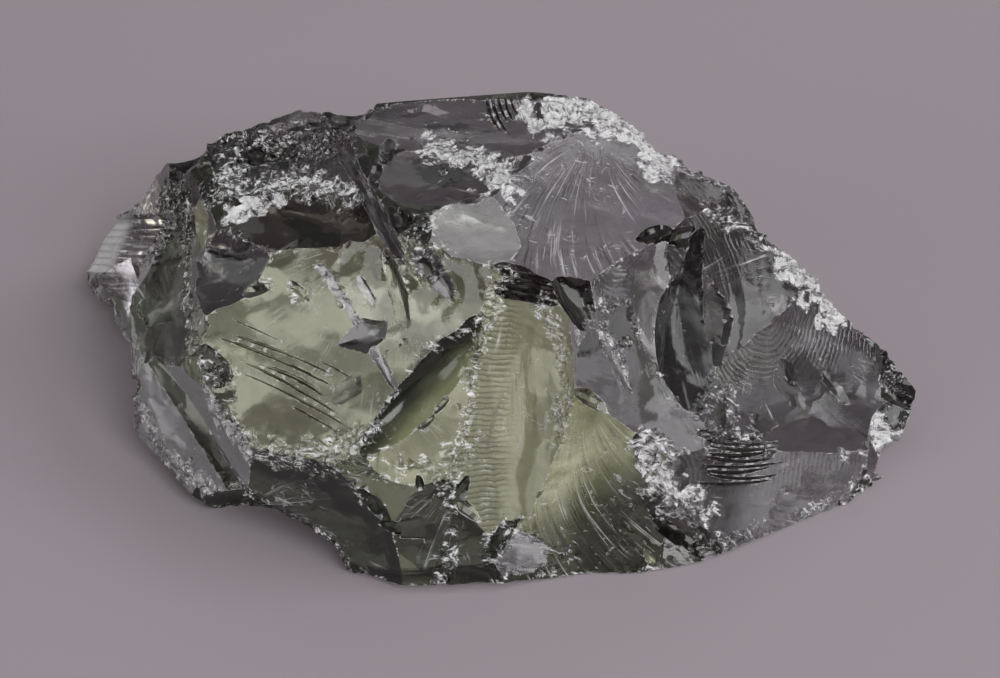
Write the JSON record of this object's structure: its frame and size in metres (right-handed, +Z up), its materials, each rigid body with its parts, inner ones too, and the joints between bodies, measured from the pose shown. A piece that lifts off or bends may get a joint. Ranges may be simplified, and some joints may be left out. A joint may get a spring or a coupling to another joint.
{
  "type": "andara crystal",
  "caption": "Fist-sized lump of clear grey-green glass, broken and flaked on every side into shallow shell-shaped hollows, sharp ridges and splits, standing on a flat broken base.",
  "frame": {"origin": "on the flat base, under the middle of the lump's box", "axes": "+X along the lump's length towards its pointed end, +Y towards the steep plain side, +Z up"},
  "size_m": [0.096, 0.0548, 0.0368],
  "materials": {
    "clear_glass": "clear grey-green glass, polished-looking on the fresh breaks, crushed and whitish along the ridges"
  },
  "bodies": {
    "root": {"andara_crystal": "clear_glass"}
  },
  "joints": []
}
